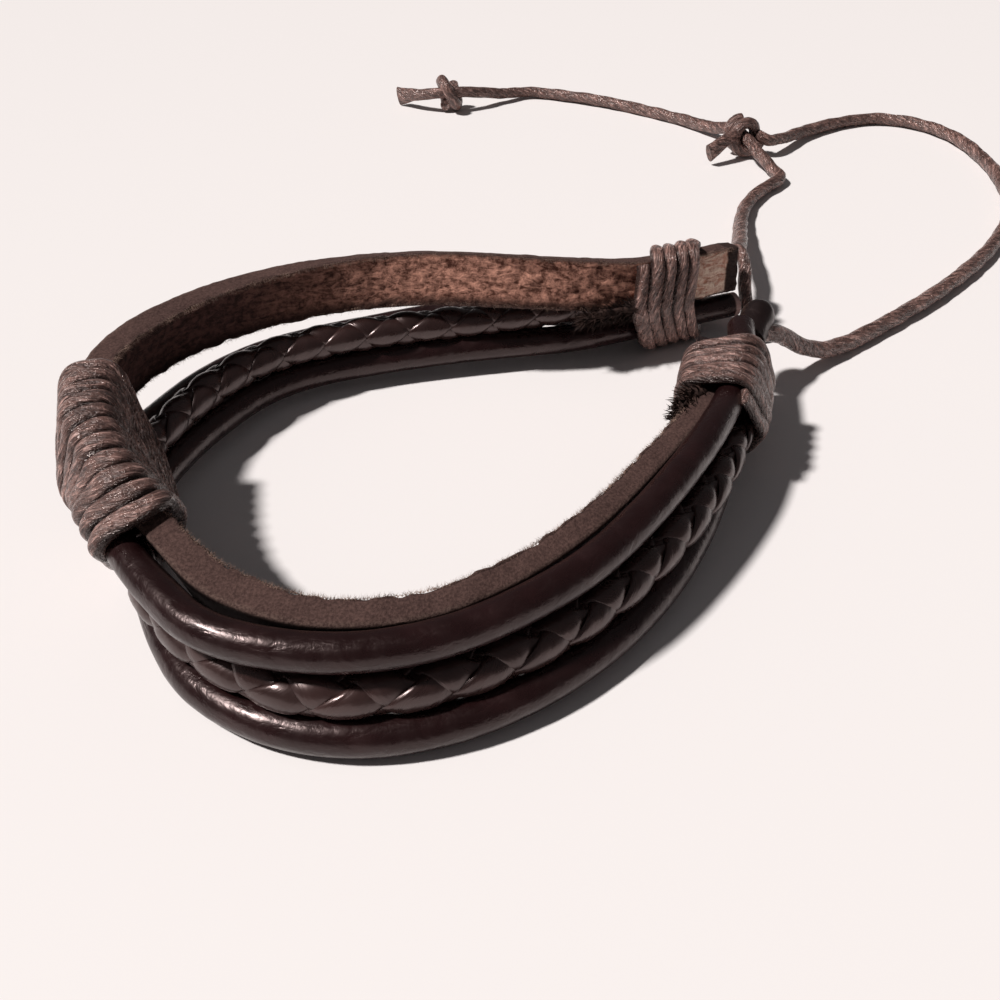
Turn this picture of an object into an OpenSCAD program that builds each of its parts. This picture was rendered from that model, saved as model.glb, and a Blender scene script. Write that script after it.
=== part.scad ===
// Wrist wrap of four leather strands bound by waxed cord, lying on a table with its ties laid out.
// Millimetres. The strands run from the far stubs round the loop to the near stubs.

/* [Strands] */
// Width of the flat strap
strap_width = 5.6; // [4.6:0.1:6]
// Thickness of the flat strap at its thinnest
strap_thickness = 2.2; // [1.6:0.1:2.4]
// Chamfer along the strap's four edges
strap_chamfer = 0.45; // [0.2:0.05:0.6]
// Diameter of the two round cords
cord_diameter = 3.0; // [2.4:0.1:3.1]
// Diameter over the braid
braid_diameter = 3.9; // [3.2:0.1:4]

/* [Wraps] */
// Wall of the middle wrap, one layer of waxed cord
wrap_wall = 1.4; // [1:0.1:1.6]
// Wall of the two end wraps, where the cord is pulled flat
end_wrap_wall = 1.1; // [0.9:0.1:1.4]
// Clearance between a wrap and the strands inside it
wrap_gap = 0.15; // [0.05:0.01:0.2]

/* [Ties] */
// Diameter of the waxed tie cord
tie_diameter = 2.0; // [1.6:0.1:2.1]
// Radius of a knot's turns about the tie inside it
knot_radius = 2.25; // [2.2:0.05:2.5]
// Diameter of the frayed tails
tail_diameter = 1.5; // [1:0.1:1.6]

/* [Shown] */
// Node to build

/* [Hidden] */

// Moves the routes' origin to the middle of the loop's footprint
frame_shift = [1.1, -7.33, -0.05];

tube_sides = 8;
wrap_sides = 24;
strand_steps = 2;
tie_steps = 2;
wrap_steps = 4;
knot_steps = 22;
ring_height = 6;
wrap_reach = 14;
strap_corner = 0.5;

// Round strands: x, y, z of the middle, then the share of the full radius left where a wrap squeezes it
lower_route = [
    [32.2, 37.4, 2.9, 0.93], [26.5, 35, 2.9, 0.93], [19.5, 31.8, 2.9, 0.95], [12.5, 29.5, 2.6, 1],
    [5.5, 28, 2.5, 1], [-1.5, 26.6, 2.5, 1], [-8.5, 24.9, 2.5, 1], [-15.5, 22.4, 2.5, 1],
    [-20.8, 18.6, 2.5, 1], [-24.4, 12.8, 2.6, 1], [-26.8, 6.6, 2.8, 0.96], [-27.9, 1, 2.95, 0.93],
    [-27.5, -4.6, 2.98, 0.9], [-26.1, -9.6, 2.98, 0.9], [-24.3, -13.8, 2.45, 0.93], [-21.6, -18.5, 1.7, 1],
    [-18.4, -22.4, 1.55, 1], [-13, -25.7, 1.55, 1], [-6.5, -27, 1.55, 1], [0.5, -25.8, 1.55, 1],
    [7, -22.6, 1.55, 1], [12.6, -17.8, 1.7, 1], [17.2, -12.2, 2, 1], [20.9, -5.8, 2.2, 1],
    [23.8, 0.8, 2.55, 0.97], [26, 7.4, 2.95, 0.93], [27.8, 14, 2.95, 0.93], [29.2, 20.3, 2.95, 0.93]
];
braid_route = [
    [27.4, 38.3, 5.95, 0.84], [25, 37.2, 6.05, 0.84], [18.5, 34, 6.1, 0.88], [12.2, 31.2, 6.1, 0.96],
    [5.5, 29.15, 6.05, 1], [-1.5, 27.5, 6, 1], [-8.5, 25.7, 6.05, 1], [-15.5, 23, 6.1, 1],
    [-21.4, 19, 6.1, 1], [-25.5, 12.8, 6.15, 0.98], [-27.9, 6.2, 6.1, 0.88], [-28.8, 0.6, 6, 0.82],
    [-28.3, -4.5, 5.85, 0.8], [-26.85, -9.3, 5.9, 0.78], [-24.4, -14.2, 5.6, 0.86], [-20.7, -18.7, 5.2, 1],
    [-16, -22.6, 4.95, 1], [-9.7, -25.4, 4.9, 1], [-2.6, -24.9, 4.9, 1], [3.5, -22.5, 4.9, 1],
    [9.2, -18.7, 4.95, 1], [14.2, -14, 5.2, 1], [18.6, -8.6, 5.6, 1], [22.3, -3, 5.9, 0.98],
    [25.1, 2.6, 6.05, 0.9], [27.1, 8, 6.05, 0.84], [28.7, 14, 6.05, 0.84], [30, 20.2, 6.05, 0.84]
];
upper_route = [
    [28.6, 40.6, 3, 0.93], [25.2, 38.8, 2.9, 0.93], [18.6, 35.5, 3, 0.95], [12, 33.5, 3.4, 1],
    [5, 32.4, 3.9, 1], [-2, 31.4, 4, 1], [-9, 29.7, 4, 1], [-16, 27, 4, 1],
    [-22.5, 23, 4, 1], [-27, 17.3, 4.1, 1], [-29.9, 10.8, 4.3, 0.97], [-31.6, 4.5, 4.7, 0.93],
    [-31.95, -0.9, 6.1, 0.93], [-30.7, -5.2, 7.75, 0.9], [-28.3, -9.7, 8.7, 0.88], [-25, -14.9, 8.85, 0.92],
    [-21.2, -19.4, 8.7, 1], [-17.4, -22.9, 8.6, 1], [-12.4, -24.7, 8.45, 1], [-6.3, -25.2, 8.45, 1],
    [-0.2, -23.8, 8.45, 1], [5.6, -20.6, 8.5, 1], [11, -16.2, 8.7, 1], [15.5, -10.8, 9, 1],
    [19.4, -5.1, 9.3, 1], [22.8, 0.8, 9.45, 1], [25.6, 7, 9.3, 0.94], [27.8, 13.6, 9.25, 0.93],
    [29, 20.2, 9.2, 0.93]
];
// Strap: x, y, z of the middle, outward lean in degrees, share of its thickness
strap_route = [
    [31.2, 37.8, 8.7, 3, 1], [29, 36.2, 8.75, 4, 1], [26, 34.1, 8.6, 5, 1], [19, 30.6, 8.95, 9, 1],
    [12, 28.4, 10, 15, 1], [4.5, 27.4, 10.9, 18, 1], [-3, 27.6, 11.1, 18, 1], [-10, 26.8, 11.1, 13, 1.05],
    [-16.6, 24.8, 11.1, 5, 1.15], [-22.6, 21.4, 11.1, -1, 1.25], [-27.5, 16.8, 11.1, -6, 1.3],
    [-31, 11.4, 11.1, -7, 1.3], [-32.1, 5.8, 11, -2, 1.25], [-31, 0.6, 10.95, 6, 1.15],
    [-28.9, -4.6, 10.6, 16, 1], [-25.8, -9.2, 9.75, 22, 0.88], [-21.3, -13.8, 7.95, 19, 1.1],
    [-16.2, -18.7, 7, 13, 1.3], [-9.3, -21.5, 6.9, 14, 1.18], [-2, -21, 6.95, 15, 1.08],
    [4.3, -17.4, 7, 18, 1], [9.8, -12.4, 7, 15, 1], [14.4, -6.7, 6.95, 11, 1], [18.4, -0.7, 6.8, 7, 1],
    [21.8, 5.4, 6.65, 4, 1], [23.8, 11.6, 6.55, 3, 1], [25, 17.8, 6.5, 3, 1]
];
// Ties: x, y, z of the middle
tie_long_route = [
    [29, 39.5, 8.3], [31.6, 41.4, 7.6], [34.1, 47.1, 5.9], [36.4, 57, 3.6], [38.7, 66.7, 1.7],
    [40.9, 73.3, 1.15], [43.7, 78.1, 1.1], [46.4, 81.2, 1.1], [48, 83.8, 1.1], [47.3, 87.6, 1.3],
    [45.7, 91.6, 2.5], [44.3, 96.6, 3.4], [42.7, 101.8, 2.8], [40, 107, 1.5], [35.2, 113, 1.1],
    [24.2, 121.6, 1.1], [11, 127.6, 1.1], [4.4, 125, 1.7], [-0.8, 121.4, 3], [-5.4, 119.6, 3.35],
    [-10, 120.2, 2.8], [-14.8, 123.4, 1.3]
];
tie_short_route = [
    [31.6, 22.1, 7.4], [34.2, 24.2, 6.2], [37.2, 26.2, 3.8], [40.8, 28.4, 1.9], [45, 31.4, 1.2],
    [51.2, 36.6, 1.1], [58, 42.8, 1.1], [65, 50, 1.1], [72.4, 59.2, 1.1], [78.2, 69, 1.1],
    [81.4, 79, 1.1], [83, 90, 1.1], [82, 101.6, 1.1], [78, 109.2, 1.1], [71.2, 112.2, 1.1],
    [63.8, 110, 1.1], [56.4, 104.4, 1.4], [51.6, 98.9, 2.1], [48.5, 96, 2.6]
];
far_tail_route = [
    [18.5, 27.8, 7.4, 1], [16.4, 27.1, 7.4, 0.9], [13.6, 26.2, 7.6, 0.75], [11, 25.6, 8, 0.5]
];
near_tail_route = [
    [20.6, 7.6, 7.9, 1], [19.8, 5.9, 7.5, 0.9], [18.9, 4.3, 6.9, 0.7]
];
// Wrap rings: x, y of a point in the ring's plane, then the heading and tilt of its normal
middle_rings = [
    [-31.5, -0.6, -84, 30], [-30.9, -3.2, -78, 18], [-29.4, -6.3, -70, 4], [-27.8, -8.4, -69, -19],
    [-25.6, -10.4, -70, -40]
];
far_rings = [
    [20, 32.2, -10, 6], [22.2, 33.1, -9, 6], [24.3, 33.9, -8, 6], [26.2, 34.7, -7, 6]
];
near_rings = [
    [24.8, 8, 66, 24], [25.6, 10.3, 72, 18], [26.4, 12.5, 77, 9], [27.2, 14.7, 82, 0]
];
// Knots: middle, heading of the tie inside, turns, start angle
sliding_place = [[44.3, 96.6, 3.4], 106, 1.7, 200];
stopper_place = [[-5.4, 119.8, 3.35], 187, 1.4, 150];

strap_colour = [0.30, 0.22, 0.19];
cord_colour = [0.13, 0.09, 0.10];
wax_colour = [0.33, 0.27, 0.25];

function unit(v) = v / norm(v);
function xyz(p) = [p[0], p[1], p[2]];
function share(p) = len(p) > 3 ? p[3] : 1;

// Catmull-Rom curve through a route's points
function blend(a, b, c, d, t) =
    0.5 * (2 * b + (c - a) * t + (2 * a - 5 * b + 4 * c - d) * t * t + (3 * b - a - 3 * c + d) * t * t * t);
function before(route, i) = i == 0 ? 2 * route[0] - route[1] : route[i - 1];
function after(route, i) = i == len(route) - 2 ? 2 * route[i + 1] - route[i] : route[i + 2];
function smooth(route, steps) = concat(
    [for (i = [0:len(route) - 2]) for (k = [0:steps - 1])
        blend(before(route, i), route[i], route[i + 1], after(route, i), k / steps)],
    [route[len(route) - 1]]
);
function heading(line, i) = unit(xyz(line[min(i + 1, len(line) - 1)]) - xyz(line[max(i - 1, 0)]));

// Rings of a round strand
function round_ring(p, along, radius) =
    let (side = unit(cross(along, [0, 0, 1])), up = cross(side, along))
    [for (k = [0:tube_sides - 1])
        let (a = 360 * (k + 0.5) / tube_sides)
        xyz(p) + radius * share(p) * (cos(a) * side + sin(a) * up)];
function round_rings(line, radius) = [for (i = [0:len(line) - 1]) round_ring(line[i], heading(line, i), radius)];

// Rings of the strap, whose middle, up and face directions follow its lean
function plan_out(along) = unit([along[1], -along[0], 0]);
function strap_up(p, out) = sin(p[3]) * out + cos(p[3]) * [0, 0, 1];
function strap_face(p, out) = cos(p[3]) * out - sin(p[3]) * [0, 0, 1];
function strap_point(line, i, u, v) =
    let (out = plan_out(heading(line, i)))
    xyz(line[i]) + u * strap_up(line[i], out) + v * strap_face(line[i], out);
function strap_ring(line, i) =
    let (
        w = strap_width / 2,
        t = strap_thickness * line[i][4] / 2,
        wc = w - strap_chamfer,
        tc = t - strap_chamfer
    )
    [for (q = [[wc, t], [w, tc], [w, -tc], [wc, -t], [-wc, -t], [-w, -tc], [-w, tc], [-wc, t]])
        strap_point(line, i, q[0], q[1])];

// One closed skin over a list of rings, and one sleeve between two lists of rings
function band(lo, hi, m) = [for (k = [0:m - 1]) let (n = (k + 1) % m) each [
    [lo + k, hi + k, lo + n],
    [lo + n, hi + k, hi + n]
]];
function flat_list(rings) = [for (r = rings) each r];
module skin(rings) {
    m = len(rings[0]);
    n = len(rings);
    polyhedron(
        points = flat_list(rings),
        faces = concat(
            [[for (k = [0:m - 1]) k]],
            [for (i = [0:n - 2]) each band(i * m, (i + 1) * m, m)],
            [[for (k = [m - 1:-1:0]) (n - 1) * m + k]]
        )
    );
}
module sleeve(outer, inner) {
    m = len(outer[0]);
    n = len(outer);
    half = n * m;
    polyhedron(
        points = concat(flat_list(outer), flat_list(inner)),
        faces = concat(
            [for (i = [0:n - 2]) each band(i * m, (i + 1) * m, m)],
            [for (i = [0:n - 2]) each band(half + (i + 1) * m, half + i * m, m)],
            band(half, 0, m),
            band((n - 1) * m, half + (n - 1) * m, m)
        )
    );
}

// Where the strands and the strap's corners cross a ring's plane, and the bundle's taut skin there
lower_line = smooth(lower_route, 4);
braid_line = smooth(braid_route, 4);
upper_line = smooth(upper_route, 4);
strap_line = smooth(strap_route, 4);
function corner_line(u, v) = [for (i = [0:len(strap_line) - 1])
    strap_point(strap_line, i,
        u * (strap_width / 2 - strap_corner),
        v * (strap_thickness * strap_line[i][4] / 2 - strap_corner))];
corner_lines = [for (u = [-1, 1]) for (v = [-1, 1]) corner_line(u, v)];

function crossings(line, o, n) = [for (i = [0:len(line) - 2])
    let (a = (xyz(line[i]) - o) * n, b = (xyz(line[i + 1]) - o) * n)
    if (a * b <= 0 && a != b)
        let (p = line[i] + (line[i + 1] - line[i]) * a / (a - b))
        if (norm([p[0] - o[0], p[1] - o[1]]) < wrap_reach) [p, unit(xyz(line[i + 1]) - xyz(line[i]))]];
function plane_normal(row) = [cos(row[2]) * cos(row[3]), sin(row[2]) * cos(row[3]), sin(row[3])];
function crossed(line, radius, o, n) =
    let (p = crossings(line, o, n)[0])
    [xyz(p[0]), p[1], radius * share(p[0])];
function crossed_strands(o, n) = concat(
    [
        crossed(lower_line, cord_diameter / 2, o, n),
        crossed(braid_line, braid_diameter / 2, o, n),
        crossed(upper_line, cord_diameter / 2, o, n)
    ],
    [for (line = corner_lines) crossed(line, strap_corner, o, n)]
);
function slant(q, u, n) = (q[1] * u) / (q[1] * n);
function reach_of(q, o, u, n, extra) = (q[0] - o) * u + (q[2] + extra) * sqrt(1 + pow(slant(q, u, n), 2));
function skin_point(q, u, n, extra) =
    let (w = unit(u - n * slant(q, u, n)))
    q[0] + (q[2] + extra) * (w - q[1] * (w * n) / (q[1] * n));
function farthest(found, o, u, n, extra) =
    let (reach = [for (q = found) reach_of(q, o, u, n, extra)])
    found[search(max(reach), reach)[0]];
function wrap_ring(row, extra) =
    let (
        n = plane_normal(row),
        o = [row[0], row[1], ring_height],
        e1 = [-sin(row[2]), cos(row[2]), 0],
        e2 = cross(n, e1),
        found = crossed_strands(o, n)
    )
    [for (k = [0:wrap_sides - 1])
        let (u = cos(360 * k / wrap_sides) * e1 + sin(360 * k / wrap_sides) * e2)
        skin_point(farthest(found, o, u, n, extra), u, n, extra)];
function wrap_rings(rows, extra) = [for (row = smooth(rows, wrap_steps)) wrap_ring(row, extra)];

// Turns of a knot about the tie inside it
function knot_line(place) =
    let (
        axis = [cos(place[1]), sin(place[1]), 0],
        side = [-sin(place[1]), cos(place[1]), 0],
        rise = tie_diameter + 0.15
    )
    [for (k = [0:knot_steps])
        let (f = k / knot_steps, a = place[3] + 360 * place[2] * f)
        place[0] + axis * rise * place[2] * (f - 0.5) + knot_radius * (cos(a) * side + sin(a) * [0, 0, 1])];
function knot_rings(line) = [for (i = [0:len(line) - 1])
    let (
        along = heading(line, i),
        side = unit(cross(along, [0.3, 0.9, 0.2])),
        up = cross(side, along)
    )
    [for (k = [0:tube_sides - 1])
        let (a = 360 * (k + 0.5) / tube_sides)
        line[i] + tie_diameter / 2 * (cos(a) * side + sin(a) * up)]];

module round_strand(route, radius, steps) {
    translate(frame_shift) skin(round_rings(smooth(route, steps), radius));
}
module wrap(rows, wall) {
    translate(frame_shift) sleeve(wrap_rings(rows, wrap_gap + wall), wrap_rings(rows, wrap_gap));
}
module knot(place) {
    translate(frame_shift) skin(knot_rings(knot_line(place)));
}

module flat_strap() {
    line = smooth(strap_route, strand_steps);
    color(strap_colour) translate(frame_shift) skin([for (i = [0:len(line) - 1]) strap_ring(line, i)]);
}
module round_cord_upper() {
    color(cord_colour) round_strand(upper_route, cord_diameter / 2, strand_steps);
}
module braided_cord() {
    color(cord_colour) round_strand(braid_route, braid_diameter / 2, strand_steps);
}
module round_cord_lower() {
    color(cord_colour) round_strand(lower_route, cord_diameter / 2, strand_steps);
}
module middle_wrap() {
    color(wax_colour) wrap(middle_rings, wrap_wall);
}
module far_wrap() {
    color(wax_colour) wrap(far_rings, end_wrap_wall);
}
module near_wrap() {
    color(wax_colour) wrap(near_rings, end_wrap_wall);
}
module far_wrap_tail() {
    color(wax_colour) round_strand(far_tail_route, tail_diameter / 2, strand_steps);
}
module near_wrap_tail() {
    color(wax_colour) round_strand(near_tail_route, tail_diameter / 2, strand_steps);
}
module tie_long() {
    color(wax_colour) round_strand(tie_long_route, tie_diameter / 2, tie_steps);
}
module tie_short() {
    color(wax_colour) round_strand(tie_short_route, tie_diameter / 2, tie_steps);
}
module sliding_knot() {
    color(wax_colour) knot(sliding_place);
}
module stopper_knot() {
    color(wax_colour) knot(stopper_place);
}

flat_strap();
round_cord_upper();
braided_cord();
round_cord_lower();
middle_wrap();
far_wrap();
near_wrap();
far_wrap_tail();
near_wrap_tail();
tie_long();
tie_short();
sliding_knot();
stopper_knot();
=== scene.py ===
# %% [markdown]
# # A leather wrist wrap
# Four strands of leather lie side by side: a flat strap, two round cords and a round braid. Waxed cord
# binds them at three places, and two waxed ties with knots would close the wrap round a wrist.
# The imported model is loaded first. It fixes where every piece goes and how large it is, so that each
# piece made here can follow the same routes and stand in the same place.

# %% Load the frame
import math
import bpy
import numpy as np
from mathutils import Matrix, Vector


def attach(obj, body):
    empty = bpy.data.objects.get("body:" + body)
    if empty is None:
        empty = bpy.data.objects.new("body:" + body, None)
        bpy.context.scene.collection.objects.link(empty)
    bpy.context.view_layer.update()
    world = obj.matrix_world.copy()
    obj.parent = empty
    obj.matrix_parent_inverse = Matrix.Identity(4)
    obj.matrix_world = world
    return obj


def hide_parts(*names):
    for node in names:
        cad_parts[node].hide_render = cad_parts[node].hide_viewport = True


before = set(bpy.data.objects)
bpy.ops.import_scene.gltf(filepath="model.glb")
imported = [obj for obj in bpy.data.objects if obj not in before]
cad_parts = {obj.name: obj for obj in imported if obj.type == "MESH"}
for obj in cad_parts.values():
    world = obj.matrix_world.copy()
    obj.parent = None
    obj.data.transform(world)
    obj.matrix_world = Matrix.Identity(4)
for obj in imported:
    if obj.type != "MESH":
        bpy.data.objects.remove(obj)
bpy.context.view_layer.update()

MM = 0.001

# %% [markdown]
# The camera comes before any piece, because the ties may not run far outside its view. It stands low and
# close, as a phone is held over a table, and looks down by 38 degrees. A lens of 37 mm on a 36 mm
# sensor gives the same strong perspective: the near side of the loop looks twice as large as the ties.

# %% Camera
bpy.ops.object.select_all(action="DESELECT")
camera_data = bpy.data.cameras.new("camera")
camera = bpy.data.objects.new("camera", camera_data)
bpy.context.scene.collection.objects.link(camera)
camera.location = (5.10 * MM, -82.33 * MM, 60.75 * MM)
camera.rotation_euler = (math.radians(52), 0, 0)
camera_data.sensor_width = 36
camera_data.lens = 37.08
camera_data.clip_start = 0.002
bpy.context.scene.camera = camera
print("camera lens", round(camera_data.lens, 1), "mm")

# %% [markdown]
# Every strand follows a route: a short list of points, in millimetres. They are the same points as in
# the part's source. The fourth number of a round strand says how far a wrap squeezes it. The strap's
# fourth number is how far it leans outward, in degrees, and its fifth how thick it is beside its usual
# thickness. The shift moves all of them so that the loop's middle is the origin.

# %% Routes of the four strands
SHIFT = (1.1, -7.33, -.05)
LOWER = [
    (32.2, 37.4, 2.9, .93), (26.5, 35, 2.9, .93), (19.5, 31.8, 2.9, .95), (12.5, 29.5, 2.6, 1),
    (5.5, 28, 2.5, 1), (-1.5, 26.6, 2.5, 1), (-8.5, 24.9, 2.5, 1), (-15.5, 22.4, 2.5, 1),
    (-20.8, 18.6, 2.5, 1), (-24.4, 12.8, 2.6, 1), (-26.8, 6.6, 2.8, .96), (-27.9, 1, 2.95, .93),
    (-27.5, -4.6, 2.98, .9), (-26.1, -9.6, 2.98, .9), (-24.3, -13.8, 2.45, .93), (-21.6, -18.5, 1.7, 1),
    (-18.4, -22.4, 1.55, 1), (-13, -25.7, 1.55, 1), (-6.5, -27, 1.55, 1), (.5, -25.8, 1.55, 1),
    (7, -22.6, 1.55, 1), (12.6, -17.8, 1.7, 1), (17.2, -12.2, 2, 1), (20.9, -5.8, 2.2, 1),
    (23.8, .8, 2.55, .97), (26, 7.4, 2.95, .93), (27.8, 14, 2.95, .93), (29.2, 20.3, 2.95, .93)]
BRAID = [
    (27.4, 38.3, 5.95, .84), (25, 37.2, 6.05, .84), (18.5, 34, 6.1, .88), (12.2, 31.2, 6.1, .96),
    (5.5, 29.15, 6.05, 1), (-1.5, 27.5, 6, 1), (-8.5, 25.7, 6.05, 1), (-15.5, 23, 6.1, 1),
    (-21.4, 19, 6.1, 1), (-25.5, 12.8, 6.15, .98), (-27.9, 6.2, 6.1, .88), (-28.8, .6, 6, .82),
    (-28.3, -4.5, 5.85, .8), (-26.85, -9.3, 5.9, .78), (-24.4, -14.2, 5.6, .86), (-20.7, -18.7, 5.2, 1),
    (-16, -22.6, 4.95, 1), (-9.7, -25.4, 4.9, 1), (-2.6, -24.9, 4.9, 1), (3.5, -22.5, 4.9, 1),
    (9.2, -18.7, 4.95, 1), (14.2, -14, 5.2, 1), (18.6, -8.6, 5.6, 1), (22.3, -3, 5.9, .98),
    (25.1, 2.6, 6.05, .9), (27.1, 8, 6.05, .84), (28.7, 14, 6.05, .84), (30, 20.2, 6.05, .84)]
UPPER = [
    (28.6, 40.6, 3, .93), (25.2, 38.8, 2.9, .93), (18.6, 35.5, 3, .95), (12, 33.5, 3.4, 1),
    (5, 32.4, 3.9, 1), (-2, 31.4, 4, 1), (-9, 29.7, 4, 1), (-16, 27, 4, 1),
    (-22.5, 23, 4, 1), (-27, 17.3, 4.1, 1), (-29.9, 10.8, 4.3, .97), (-31.6, 4.5, 4.7, .93),
    (-31.95, -.9, 6.1, .93), (-30.7, -5.2, 7.75, .9), (-28.3, -9.7, 8.7, .88), (-25, -14.9, 8.85, .92),
    (-21.2, -19.4, 8.7, 1), (-17.4, -22.9, 8.6, 1), (-12.4, -24.7, 8.45, 1), (-6.3, -25.2, 8.45, 1),
    (-.2, -23.8, 8.45, 1), (5.6, -20.6, 8.5, 1), (11, -16.2, 8.7, 1), (15.5, -10.8, 9, 1),
    (19.4, -5.1, 9.3, 1), (22.8, .8, 9.45, 1), (25.6, 7, 9.3, .94), (27.8, 13.6, 9.25, .93),
    (29, 20.2, 9.2, .93)]
STRAP = [
    (31.2, 37.8, 8.7, 3, 1), (29, 36.2, 8.75, 4, 1), (26, 34.1, 8.6, 5, 1), (19, 30.6, 8.95, 9, 1),
    (12, 28.4, 10, 15, 1), (4.5, 27.4, 10.9, 18, 1), (-3, 27.6, 11.1, 18, 1), (-10, 26.8, 11.1, 13, 1.05),
    (-16.6, 24.8, 11.1, 5, 1.15), (-22.6, 21.4, 11.1, -1, 1.25), (-27.5, 16.8, 11.1, -6, 1.3),
    (-31, 11.4, 11.1, -7, 1.3), (-32.1, 5.8, 11, -2, 1.25), (-31, .6, 10.95, 6, 1.15),
    (-28.9, -4.6, 10.6, 16, 1), (-25.8, -9.2, 9.75, 22, .88), (-21.3, -13.8, 7.95, 19, 1.1),
    (-16.2, -18.7, 7, 13, 1.3), (-9.3, -21.5, 6.9, 14, 1.18), (-2, -21, 6.95, 15, 1.08),
    (4.3, -17.4, 7, 18, 1), (9.8, -12.4, 7, 15, 1), (14.4, -6.7, 6.95, 11, 1), (18.4, -.7, 6.8, 7, 1),
    (21.8, 5.4, 6.65, 4, 1), (23.8, 11.6, 6.55, 3, 1), (25, 17.8, 6.5, 3, 1)]
print("route points", [len(route) for route in (LOWER, BRAID, UPPER, STRAP)])

# %% [markdown]
# A leather strand bends in one smooth sweep from point to point. A Catmull-Rom curve does the same and
# passes through all of its points, which is why it suits a route that was laid over a picture point by
# point, where a Bezier curve would also need handles. The extra point at each end lets the curve reach
# the first and the last one.

# %% Smooth lines through the routes
def catmull_rom(a, b, c, d, t):
    """A point on the curve from b to c, between a and d, for t from 0 to 1."""
    return .5 * (2 * b + (c - a) * t + (2 * a - 5 * b + 4 * c - d) * t ** 2
                 + (3 * b - a - 3 * c + d) * t ** 3)


def with_outer_points(points):
    return np.vstack([2 * points[0] - points[1], points, 2 * points[-1] - points[-2]])


def smooth(route, steps):
    """The curve of a route, with that many steps to each of its points, still in millimetres."""
    points = np.array(route, float)
    points[:, :3] += SHIFT
    points = with_outer_points(points)
    out = []
    for a, b, c, d in zip(points[:-3], points[1:-2], points[2:-1], points[3:]):
        for t in np.arange(steps) / steps:
            out.append(catmull_rom(a, b, c, d, t))
    return np.array(out + [points[-2]])


def lengths(line):
    """How far along a line each of its points lies."""
    return np.concatenate([[0], np.cumsum(np.linalg.norm(np.diff(line[:, :3], axis=0), axis=1))])


def evenly(line, step):
    """The same line with its points a step apart."""
    s = lengths(line)
    at = np.linspace(0, s[-1], max(3, int(round(s[-1] / step)) + 1))
    return np.column_stack([np.interp(at, s, line[:, k]) for k in range(line.shape[1])]), at


def hump(x, middle, width):
    """A soft rise to 1 about a place."""
    return np.exp(-((x - middle) / width) ** 2)


for name, route in (("lower", LOWER), ("braid", BRAID), ("upper", UPPER), ("strap", STRAP)):
    print(name, "strand is", round(lengths(smooth(route, 8))[-1]), "mm long")

# %% [markdown]
# A tube can be made as leather workers make round cord: a flat sheet is rolled up and its long edges
# are joined. Here the sheet is Blender's grid primitive. Each of its vertices is moved to its place on
# the tube, the two long edges are merged, and the open ends are filled. A grid is better than a
# curve with a bevel, because each vertex can be pushed a little in or out, for grain, twist and wear,
# and it can keep a note of where on the cord it lies. That note is the attribute "lay": the cosine
# and sine of the angle round the cord, and the distance along it in millimetres.

# %% Rolling a sheet into a tube
SAME_PLACE = 1e-7
SMOOTH_BELOW = math.radians(50)


def unit(v):
    return v / np.maximum(np.linalg.norm(v, axis=-1, keepdims=True), 1e-12)


def tangents(line):
    return unit(np.gradient(line[:, :3], axis=0))


def upright(line):
    """Sideways and upward directions of a strand; sideways is out of the loop."""
    along = tangents(line)
    side = unit(np.cross(along, (0, 0, 1)))
    return side, np.cross(side, along)


def rolled(name, rings, notes):
    """A closed tube from rings, an array of rows x columns x 3 in millimetres."""
    rows, cols = rings.shape[:2]
    bpy.ops.object.select_all(action="DESELECT")
    bpy.ops.mesh.primitive_grid_add(x_subdivisions=cols, y_subdivisions=rows - 1, size=1)
    piece = bpy.context.object
    piece.name = piece.data.name = name
    mesh = piece.data
    flat = np.empty(len(mesh.vertices) * 3)
    mesh.vertices.foreach_get("co", flat)
    flat = flat.reshape(-1, 3)
    col = np.rint((flat[:, 0] + .5) * cols).astype(int) % cols
    row = np.rint((flat[:, 1] + .5) * (rows - 1)).astype(int)
    mesh.vertices.foreach_set("co", (rings[row, col] * MM).ravel())
    lay = mesh.attributes.new("lay", "FLOAT_VECTOR", "POINT")
    lay.data.foreach_set("vector", notes[row, col].astype(float).ravel())
    bpy.ops.object.mode_set(mode="EDIT")
    bpy.ops.mesh.select_all(action="SELECT")
    bpy.ops.mesh.remove_doubles(threshold=SAME_PLACE)
    bpy.ops.mesh.fill_holes(sides=0)
    bpy.ops.mesh.normals_make_consistent(inside=False)
    bpy.ops.object.mode_set(mode="OBJECT")
    bpy.ops.object.shade_smooth_by_angle(angle=SMOOTH_BELOW)
    return piece


def ring_notes(at, cols, turn=0.0):
    """The notes of a tube, and the angle of each vertex, which may turn along the tube."""
    angle = 2 * np.pi * (np.arange(cols) + .5) / cols
    angle = angle[None, :] + np.zeros((len(at), 1)) + turn
    return np.stack([np.cos(angle), np.sin(angle), np.repeat(at[:, None], cols, 1)], 2), angle


def round_rings(line, radius, angle, side, up):
    """Rings about a line, with a radius for each vertex."""
    return (line[:, None, :3] + (radius * np.cos(angle))[..., None] * side[:, None]
            + (radius * np.sin(angle))[..., None] * up[:, None])


def flat_rings(line, out, across, outward):
    """Rings about a line: how far each vertex lies across it, and how far out."""
    ahead = tangents(line)
    out = unit(out - (out * ahead).sum(1, keepdims=True) * ahead)
    sideways = np.cross(ahead, out)
    return line[:, None] + across[..., None] * sideways[:, None] + outward[..., None] * out[:, None]


print("sheets can be rolled")

# %% [markdown]
# Leather and cord are never quite even. A displace modifier with a noise texture could roughen them, but
# it pushes every vertex by the same rule. A coarse grid of random numbers, blended softly between its
# points, gives hills that close round the tube and can be as long or as short as a piece needs. The
# numbers are drawn from a seed, so every run makes the same hills.

# %% Small hills
def soft_step(f):
    return f * f * (3 - 2 * f)


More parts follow.
